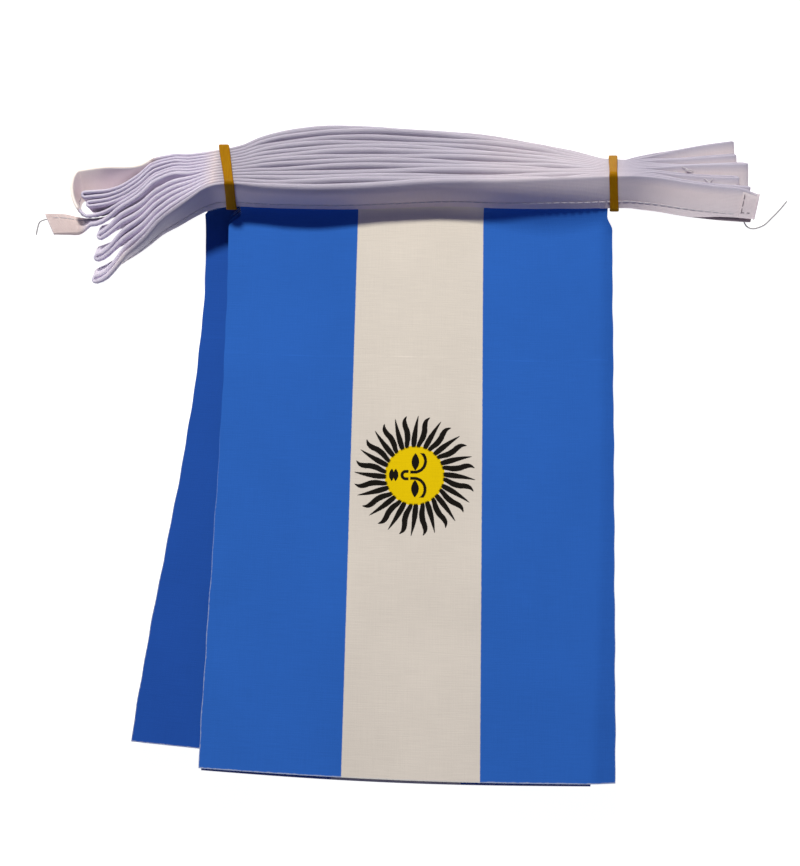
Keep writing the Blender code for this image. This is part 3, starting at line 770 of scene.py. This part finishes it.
def tape_material(name, colour, fold_shade_colour, rib=1.0):
    """Woven polyester ribbon: fine ribs across, a close selvedge, soft puckers along the seam.

    The third flat coordinate is the tone, which tape_tone gives: 1 is the fold colour, a painted
    shade, 0 is colour, and -1, -2 and -3 are the painted violet shade of the left fan, the cut
    end's own colour and the painted glow of the big loop, as if light came through the cloth.
    """
    material, tree, shader = new_material(name, colour, 0.62)
    s, w, shade_glow_end_tone = cloth_axes(tree)
    scattered = (shade_glow_end_tone * -1.0).math("ADD", -2.0, clamp=True) * -0.5 + 0.5
    grain = noise(tree, (s * 2.2, w * 0.5, 2.0), 2.0, 0.6)
    cloud = noise(tree, (s * 0.06, w * 0.22, 4.0), 2.0, 0.5)
    tone = (grain - 0.5) * 0.07 + (cloud - 0.5) * 0.10 + 1.0
    warm = noise(tree, (s * 0.015, w * 0.08, 8.0), 1.0, 0.5)
    base = blend(tree, (warm - 0.35).math("MULTIPLY", 2.5, clamp=True), colour,
                 tuple(min(c * k, 1.0) for c, k in zip(colour, (1.05, 1.0, 0.97))))
    # painted violet shade on the left fan, the cut end's own colour, and a painted glow in the big loop
    for past, other in enumerate((FAN_SHADE_COLOUR, END_COLOUR, LOOP_GLOW_COLOUR)):
        base = blend(tree, (shade_glow_end_tone * -1.0).math("ADD", -float(past), clamp=True), base, other)
    # painted shade where the folds stack up, and inside the fold
    base = blend(tree, shade_glow_end_tone.math("ADD", 0.0, clamp=True), base, fold_shade_colour)
    tree.links.new(shade(tree, base, tone), shader.inputs["Base Color"])
    ribs = (s * (2 * math.pi / 0.42)).math("SINE") * 0.5
    selvedge = (w * (2 * math.pi / 0.5)).math("SINE") * 0.25
    pucker = noise(tree, (s * 0.17, w * 0.06, 11.0), 2.0, 0.5) - 0.5
    height = ribs * (0.25 * rib) + selvedge + (grain - 0.5) * 0.8 + pucker * 4.0
    raise_by(tree, shader, height, 0.07, 0.6)
    tree.links.new(scattered.socket, shader.inputs["Subsurface Weight"])
    set_inputs(shader, {"Subsurface Radius": (1.0, 0.9, 0.9), "Subsurface Scale": 0.0015,
                        "Specular IOR Level": 0.35, "Sheen Weight": 0.12, "Sheen Roughness": 0.4})
    return material


def rubber_material(name):
    """Stretched yellow rubber, a little streaked along the band."""
    material, tree, shader = new_material(name, RUBBER_LIGHT, 0.45)
    x, y, z = object_axes(tree)
    streak = noise(tree, (x * 2.2, y * 0.25, z * 0.25), 2.0, 0.5)
    tree.links.new(blend(tree, streak, RUBBER_LIGHT, RUBBER_DARK), shader.inputs["Base Color"])
    raise_by(tree, shader, noise(tree, (x * 3.0, y * 0.6, z * 0.6), 2.0, 0.6), 0.12, 0.5)
    set_inputs(shader, {"Specular IOR Level": 0.04, "Subsurface Weight": 0.25,
                        "Subsurface Radius": (1.0, 0.5, 0.05), "Subsurface Scale": 0.0012})
    return material


def thread_material(name, colour):
    """Twisted sewing thread."""
    material, tree, shader = new_material(name, colour, 0.7)
    x, y, z = object_axes(tree)
    twist = ((x + y * 1.7 + z) * (2 * math.pi / 0.35)).math("SINE")
    fuzz = noise(tree, (x * 3.0, y * 3.0, z * 3.0), 2.0)
    dark = tuple(c * 0.72 for c in colour)
    tree.links.new(blend(tree, twist * 0.25 + fuzz * 0.5, colour, dark), shader.inputs["Base Color"])
    raise_by(tree, shader, twist, 0.03, 0.6)
    return material


# ---- the pieces
def tape_tone(line, w, half):
    """Tone of the cloth by station and point of the profile; half of them are outside. It paints shade
    on the folds, inside the fold and on the left fan, and a glow in the big loop.
    """
    x, number = line["x"][:, None], line["number"][:, None]
    # Painted shade along the top of each pass, where the folds stack up, lighter towards the right band;
    # left of the band, the left fan's painted violet shade.
    paler = 0.30 * soft_step((x - 15) / 25) * soft_step((82 - x) / 10)
    tone = mix(-1.0, soft_step((w - 8.4) / 2.4) * (1 - paler), soft_step((x + 70) / 10))
    # Painted light: the back pass round the big loop, and its turn, glow as if light came through the
    # cloth.
    last = number == PASSES - 1
    ends = np.flatnonzero(last & (x < -108))
    turn = (np.abs(np.arange(len(x))[:, None] - ends).min(1) < 10)[:, None]
    loop = np.maximum(last * soft_step((-82 - x) / 12), turn)
    cut = (number == CUT_PASS) * soft_step((-111 - x) / 6)
    tone = mix(mix(tone, -2.0, cut), -3.0, loop)
    # painted shade on the front pass's face left of the band
    painted_front_shade = (number == 0) * soft_step((x + 106) / 14) * soft_step((-58 - x) / 10)
    tone = mix(tone, 1.0, painted_front_shade)
    # inside the fold: painted shade, or the painted glow in the big loop
    tone[:, half:] = mix(1.0, -3.0, loop)
    return tone


def make_tape(line, material, edge_and_inside_shade_material):
    """The ribbon folded in two along its length: a U in section, with closed ends."""
    opening = soft_step((line["x"] - 98) / 20) * (line["number"] == 0)
    open_half = EDGE_HALF + GAPE * opening
    outer, inner = ribbon_profile(line["loft"], open_half, line["x"], line["facing"], line["width"])

    def lay(w, n):
        return (line["edge"][:, None] + line["across"][:, None] * w[..., None]
                + line["normal"][:, None] * n[..., None])

    verts = np.concatenate((lay(*outer), lay(*inner)[:, ::-1]), 1)
    w = np.concatenate((outer[0], inner[0][:, ::-1]), 1)
    count, size = w.shape
    half = size // 2
    s = np.broadcast_to(line["length"][:, None], (count, size))
    # the inner rows and the caps take the edge material, which paints the shade inside the fold
    which = np.tile((np.arange(size) >= half - 1).astype(int), count - 1)
    caps = []
    for base, turn in ((0, -1), ((count - 1) * size, 1)):
        for k in range(half - 1):
            quad = (base + k, base + k + 1, base + size - 2 - k, base + size - 1 - k)
            caps.append(quad[::turn])
    which = np.concatenate((which, np.ones(len(caps), int)))
    faces = np.concatenate((strip_faces(count, size), np.array(caps)))[:, ::-1]
    cloth = np.stack((s, w, tape_tone(line, w, half)), -1).reshape(-1, 3)
    return make_mesh("tape_cloth", verts.reshape(-1, 3), faces, [material, edge_and_inside_shade_material], which, cloth)


def surface_point(line, k, share, w, side, proud):
    """A point on the tape's outer face between stations k and k+1."""
    point = 0
    for j, part in ((k, 1 - share), (k + 1, share)):
        outside = side * (half_thickness(line["loft"][j], EDGE_HALF, w) + proud)
        outside += line["facing"][j] * bow_of(line["x"][j], w)
        point = point + part * (line["edge"][j] + line["across"][j] * w + line["normal"][j] * outside)
    return point


def at_length(line, s):
    """The station before the length s, and the share of the way to the next one."""
    k = min(max(int(np.searchsorted(line["length"], s)) - 1, 0), len(line["length"]) - 2)
    share = (s - line["length"][k]) / (line["length"][k + 1] - line["length"][k])
    return k, share


def stitch(line, start, stop, side, rise):
    """One stitch on the tape's face from start to stop, each (length, across)."""
    path = []
    for share, proud in rise:
        k, part = at_length(line, mix(start[0], stop[0], share))
        path.append(surface_point(line, k, part, mix(start[1], stop[1], share), side, proud))
    return path


def make_seam(line, material):
    """The row of machine stitches that holds the flags in the fold, seen on both faces."""
    rise = ((0.0, 0.0), (0.2, 0.12), (0.5, 0.16), (0.8, 0.12), (1.0, 0.0))
    row = SEAM + 0.04
    paths, s, total = [], 6.5, line["length"][-1]
    while s + STITCH < total - 2:
        for side in (-1, 1):
            paths.append(stitch(line, (s, row), (s + STITCH, row), side, rise))
        s += STITCH + STITCH_GAP
    return make_mesh("tape_seam", *tubes(paths, STITCH_DIAMETER / 2, 4), [material])


def make_hem(line, material, edge_and_inside_shade_material):
    """The tape's end turned back on its face: one narrow flap round the end."""
    shares = np.linspace(1.2 / TAPE_WIDTH, 1 - 0.15 / TAPE_WIDTH, 7)
    reach = np.linspace(HEM_LENGTH, -HEM_TURN, 9)
    turns = np.radians((30, 60, 90, 120, 150))
    rows = [(*at_length(line, max(s, 0.0)), min(s, 0.0), 0.0) for s in reach]
    rows += [(0, 0.0, -HEM_TURN, turn) for turn in turns]
    upper, under = [], []
    for k, part, past, turn in rows:
        full = mix(line["width"][k], line["width"][k + 1], part)
        end = mix(line["edge"][k], line["edge"][k + 1], part) + line["along"][k] * past
        for w in shares * full:
            outside = half_thickness(line["loft"][k], EDGE_HALF + GAPE, w)
            wide = math.sqrt(max(1 - (w / full) ** 8, 0.0))
            for points, proud, round_ in ((upper, HEM_OUT, 1.0), (under, HEM_IN, 0.6)):
                back = line["normal"][k] * ((outside + proud) * wide * math.cos(turn))
                out = line["along"][k] * (HEM_TURN * math.sin(turn) * round_)
                points.append(end + line["across"][k] * w - back - out)
    count, cols = len(rows), len(shares)
    top, low, rim = shell_faces(np.arange(count * cols).reshape(count, cols).T)
    which = np.concatenate((np.zeros(len(top) + len(low), int), np.ones(len(rim), int)))
    lengths = np.concatenate((reach, -HEM_TURN - 0.4 * np.arange(1, len(turns) + 1)))
    flat = [(s, share * TAPE_WIDTH, 0.0) for s in lengths for share in shares]
    return make_mesh("tape_hem", np.array(upper + under), np.concatenate((top, low, rim)),
                     [material, edge_and_inside_shade_material], which, flat * 2)


def flag_surface(number, share, row):
    """Middle surface of a flag; rows above 0 are inside the tape's fold."""
    shape = OUTLINES[number]
    drop = np.maximum(row, 0.0)
    flare = soft_step((drop - NECK) / (SHOULDER - NECK))
    down = np.maximum(drop - SHOULDER, 0.0) / (FLAG_DROP - SHOULDER)
    left = mix(mix(shape.top_left, shape.wide_left, flare), shape.low_left, down)
    left = left + shape.bow * 6.75 * down * (1 - down) ** 2
    right = mix(mix(shape.top_right, shape.wide_right, flare), shape.low_right, down)
    x = mix(left, right, share)
    sewn_x = np.clip(x, FLAG_LEFT, FLAG_RIGHT)
    lean = np.radians(ease(BETWEEN, "tilt", sewn_x))
    front, _, pitch = pass_frame(number, sewn_x.ravel())
    slide, deep = stray(number, sewn_x.ravel())
    across, towards = across_and_down(0.0 * x.ravel(), np.degrees(lean).ravel())
    edge = (front - across * slide[:, None] - towards * deep[:, None]).reshape(x.shape + (3,))
    top = edge[..., 1] - EDGE_GAP * np.cos(lean)
    low = mix(shape.low_left_y, shape.low_right_y, share) - shape.sag * np.sin(np.pi * share)
    y = mix(top, low, drop / FLAG_DROP)
    z = flag_height(number, x, y, edge, lean)
    points = np.stack((x, y, z), -1)
    inside = np.minimum(row, 0.0)[..., None]
    points = points - across.reshape(points.shape) * inside
    bulge = bow_of(sewn_x, -np.minimum(row, 0.0) - EDGE_GAP) * (row < 0)
    points = points - towards.reshape(points.shape) * bulge[..., None]
    settle = soft_step(1 - drop / 14)[..., None]
    points = points + towards.reshape(points.shape) * deep.reshape(x.shape)[..., None] * settle
    return points, left, right


def flag_height(number, x, y, edge, lean):
    """Height of a flag's middle surface: it curves down from the tape, then lies on the pile."""
    level = SHEET / 2 + FLAG_PITCH * (PASSES - 1 - number)
    radius = (edge[..., 2] - level) / (1 - np.cos(lean))
    below = edge[..., 1] - y
    sine = np.sin(lean) - np.maximum(below, 0.0) / radius
    arc = edge[..., 2] - radius * (np.sqrt(1 - np.minimum(sine * sine, 1.0)) - np.cos(lean))
    height = np.where(sine > 0, arc, level)
    share = 1 - number / (PASSES - 1)
    rise = soft_step((below - 25) / 60) * (0.55 + 0.45 * np.sin(0.031 * x + 0.024 * y + 0.6))
    height = height + SWELL * share ** 3 * rise
    if number == 0:
        past = x - CREASE_TOP_X + CREASE_DRIFT * (below / FLAG_DROP) ** 2
        bend = 1.1                                  # the crease is rounded over this width
        droop = np.where(np.abs(past) < bend, (past + bend) ** 2 / (4 * bend), np.maximum(past, 0.0))
        height = height - CREASE_SLOPE * np.maximum(droop, 0.0) * soft_step((below - 2) / 8)
    return height + soft_wave(number, x, y, below)


def soft_wave(number, x, y, below):
    """The cloth isn't quite flat: long soft waves, much the same through the whole pile."""
    free = soft_step((below - 14) / 40)
    wave = (0.16 * np.sin(x / 17.0 + y / 41.0 + 0.4) + 0.12 * np.sin(x / 9.0 - y / 26.0 + 2.0)
            + 0.10 * np.sin(y / 15.0 + x / 60.0))
    own = 0.07 * np.sin(x / 13.0 + y / 19.0 + 2.1 * number)
    return (wave + own) * free * 0.8


def make_flag(number, front_side, back_side, cut_edge):
    """One flag as a thin sheet; every other one shows its reverse side."""
    fine = number in (0, 5)                         # the two that show
    columns = 96 if fine else 34
    body = np.linspace(9.0, FLAG_DROP, 118 if fine else 40)
    rows = np.concatenate((-np.linspace(TUCK, 0.0, 5)[:-1], np.linspace(0.0, 9.0, 13)[:-1], body))
    share, row = np.meshgrid(np.linspace(0.0, 1.0, columns), rows)
    middle, left, right = flag_surface(number, share, row)
    if number == 0:                                 # its stripes run a little askew
        drop = np.clip(row / FLAG_DROP, 0.0, 1.0)
        first, second = (mix(a, b, drop) for a, b in zip(STRIPE_TOP, STRIPE_LOW))
        x, third = middle[..., 0], FLAG_WIDTH / 3
        u = np.where(x < first, (x - left) / (first - left),
                     np.where(x < second, 1 + (x - first) / (second - first),
                              2 + (x - second) / (right - second))) * third
    else:
        u = share * FLAG_WIDTH
    waver = 0.16 * np.sin(row / 3.1 + number) * np.sin(row / 7.7) * soft_step((row - 12) / 10)
    middle[..., 0] += waver * ((share == 0.0) * 1.0 - (share == 1.0))
    along = np.gradient(middle, axis=1)
    down = np.gradient(middle, axis=0)
    normal = unit(np.cross(down, along))
    upper, under = middle + normal * (CLOTH / 2), middle - normal * (CLOTH / 2)
    count, cols = share.shape
    top, low, rim = shell_faces(np.arange(count * cols).reshape(count, cols))
    which = np.repeat((0, 1, 2), (len(top), len(low), len(rim)))
    flat = np.stack((u, row, np.full(u.shape, float(number))), -1).reshape(-1, 3)
    printed_up = number % 2 == 0
    materials = [front_side, back_side] if printed_up else [back_side, front_side]
    verts = np.concatenate((upper.reshape(-1, 3), under.reshape(-1, 3)))
    return make_mesh("flag_cloth_%02d" % (number + 1), verts, np.concatenate((top, low, rim)),
                     materials + [cut_edge], which, np.tile(flat, (2, 1)))


def make_band(band, material):
    """A rubber band pulled tight round the bundle, with soft edges and an uneven width."""
    start, across, down, pitch = (found[0] for found in between_frame(0, np.array([band.x])))
    thick = (PASSES - 1) * pitch
    ring = []
    low, high = BAND_TUCK, TAPE_WIDTH - BAND_TUCK
    corners = ((low, 0.0, 270), (low, thick, 180), (high, thick, 90), (high, 0.0, 0))
    for j, (wide, deep, first) in enumerate(corners):
        for k in range(9):
            angle = math.radians(first - 90 * k / 8)
            ring.append((wide, deep, math.cos(angle), math.sin(angle)))
        next_wide, next_deep, _ = corners[(j + 1) % 4]
        for k in range(1, 7):
            share = k / 7
            ring.append((mix(wide, next_wide, share), mix(deep, next_deep, share),
                         math.cos(angle), math.sin(angle)))
    shape = []
    for k in range(14):
        angle = 2 * math.pi * k / 14
        c, s = math.cos(angle), math.sin(angle)
        shape.append((math.copysign(abs(c) ** 0.35, c), math.copysign(abs(s) ** 0.6, s)))
    verts = []
    for k, (wide, deep, c, s) in enumerate(ring):
        turn = 2 * math.pi * k / len(ring)
        width = band.width * (1 + 0.05 * math.sin(2 * turn + 1.0) + 0.04 * math.sin(5 * turn))
        height = BAND_THICK * (0.84 + 0.06 * math.sin(3 * turn))
        for along, out in shape:
            reach = BAND_NEAR + height * (0.5 + 0.5 * out)
            w, d = wide + c * reach, deep + s * reach
            drift = band.drift_across * w / TAPE_WIDTH + band.drift_deep * d / thick
            verts.append(start + across * w + down * d + np.array((drift + along * width / 2, 0.0, 0.0)))
    size = len(shape)
    faces = list(strip_faces(len(ring), size))
    last = (len(ring) - 1) * size
    for k in range(size):
        after = (k + 1) % size
        faces.append((last + k, last + after, after, k))
    return make_mesh(band.name + "_rubber", verts, np.array(faces)[:, ::-1], [material])


def on_pass(number, rows):
    """Points lying on a pass's upper side, from rows of (x, across, proud)."""
    x, w, proud = np.array(rows, float).T
    edge, across, _ = pass_frame(number, x)
    normal = unit(np.cross((1.0, 0.0, 0.0), across))
    upper_side = EDGE_HALF + 0.35
    return edge + across * w[:, None] + normal * (upper_side + proud)[:, None]


def make_threads(line, bright, grey, dark):
    """Sewing thread: the hem's stitches, loose loops on the right fan, stray ends on the floor."""
    over = ((0.0, 0.45), (0.25, 0.59), (0.5, 0.63), (0.75, 0.59), (1.0, 0.45))
    short = ((0.0, 0.47), (0.5, 0.60), (1.0, 0.47))
    s, row, sewn = HEM_LENGTH - 0.7, 3.0, []
    for high, low in ((9.5, 7.7), (7.3, 5.0), (4.7, 2.4)):
        sewn.append(stitch(line, (s, high), (s, low), -1, over))
    for start, stop in ((4.2, 3.1), (2.4, 1.2)):
        sewn.append(stitch(line, (start, row), (stop, row), -1, short))
    loops = [curl(on_pass(number, rows), 14) for number, rows in LOOPS]
    strays = [curl(STRAY_RIGHT, 30), curl(STRAY_LEFT, 22)]
    return [
        make_mesh("hem_stitches", *tubes(sewn, 0.17, 5), [dark]),
        make_mesh("loose_loops", *tubes(loops, 0.14, 5), [bright]),
        make_mesh("stray_threads", *tubes(strays, 0.25, 6), [grey]),
    ]


# ---- put it up
line = tape_line()
tape_cloth = tape_material("ribbon", TAPE_COLOUR, FOLD_SHADE_COLOUR)
# the ribbon's edges, and painted shade inside the fold
tape_edge_and_inside_shade = tape_material("ribbon_edge_and_inside_shade", EDGE_COLOUR, INSIDE_SHADE_COLOUR, 0.4)
white_thread = thread_material("white_thread", (0.72, 0.68, 0.71))
grey_thread = thread_material("grey_thread", (0.40, 0.38, 0.39))
dark_thread = thread_material("dark_thread", (0.25, 0.21, 0.23))
printed = flag_material("flag_print", False)
soaked = flag_material("flag_reverse", True)
cut_edge = new_material("cut_edge", (0.42, 0.46, 0.52), 0.9)[0]
rubber = rubber_material("rubber")

tape = make_tape(line, tape_cloth, tape_edge_and_inside_shade)
seam = make_seam(line, white_thread)
hem = make_hem(line, tape_cloth, tape_edge_and_inside_shade)
sewing = [seam, hem] + make_threads(line, white_thread, grey_thread, dark_thread)
flags = [make_flag(number, printed, soaked, cut_edge) for number in range(PASSES)]
bands = [make_band(band, rubber) for band in BANDS]

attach(tape, "root")
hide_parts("tape")
for piece in sewing:
    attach(piece, "root")
for number, flag in enumerate(flags):
    name = "flag_%02d" % (number + 1)
    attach(flag, "root")
    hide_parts(name)
for band, item in zip(BANDS, bands):
    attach(item, "root")
    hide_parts(band.name)
line["length"][-1] * MM

# ---- floor, light, camera
bpy.ops.mesh.primitive_plane_add(size=6.0, location=(0.0, 0.0, -0.0002))
floor = bpy.context.object
floor.name = "floor"
paper, _, sheet = new_material("floor", (0.30, 0.30, 0.30), 0.95)
set_inputs(sheet, {"Emission Color": (1.0, 1.0, 1.0, 1.0), "Emission Strength": 0.97})
floor.data.materials.append(paper)

world = bpy.data.worlds.new("studio")
bpy.context.scene.world = world
world.use_nodes = True
set_inputs(world.node_tree.nodes["Background"], {"Color": (0.50, 0.52, 1.0, 1.0), "Strength": 0.20})


def add_light(name, azimuth, elevation, distance, size, watts, colour):
    """An area lamp aimed at the middle; azimuth 0 is +Y and turns towards -X."""
    a, e = math.radians(azimuth), math.radians(elevation)
    lamp = bpy.data.lights.new(name, "AREA")
    lamp.shape, lamp.size, lamp.energy, lamp.color = "DISK", size, watts, colour
    item = bpy.data.objects.new(name, lamp)
    away = np.array((-math.sin(a) * math.cos(e), math.cos(a) * math.cos(e), math.sin(e)))
    item.location = away * distance
    item.rotation_euler = Vector(-away).to_track_quat("-Z", "Y").to_euler()
    bpy.context.scene.collection.objects.link(item)


add_light("key", azimuth=11, elevation=51, distance=1.8, size=0.208, watts=32.8,
          colour=(1.0, 0.985, 0.88))

# The camera looks down from the flags' side of straight above.
LEAN_BACK = math.radians(8.0)
DISTANCE = 500.0
AIM = np.array((0.0, 0.0, 16.0))
camera = bpy.data.cameras.new("camera")
camera.lens, camera.sensor_width = 60.2, 36.0
camera.shift_x, camera.shift_y = -0.001155, 0.026559
camera.clip_start, camera.clip_end = 0.01, 20.0
view = bpy.data.objects.new("camera", camera)
view.location = place(AIM + DISTANCE * np.array((0.0, -math.sin(LEAN_BACK), math.cos(LEAN_BACK))))
view.rotation_euler = (LEAN_BACK, 0.0, 0.0)
bpy.context.scene.collection.objects.link(view)
bpy.context.scene.camera = view
bpy.context.scene.view_settings.view_transform = "Standard"
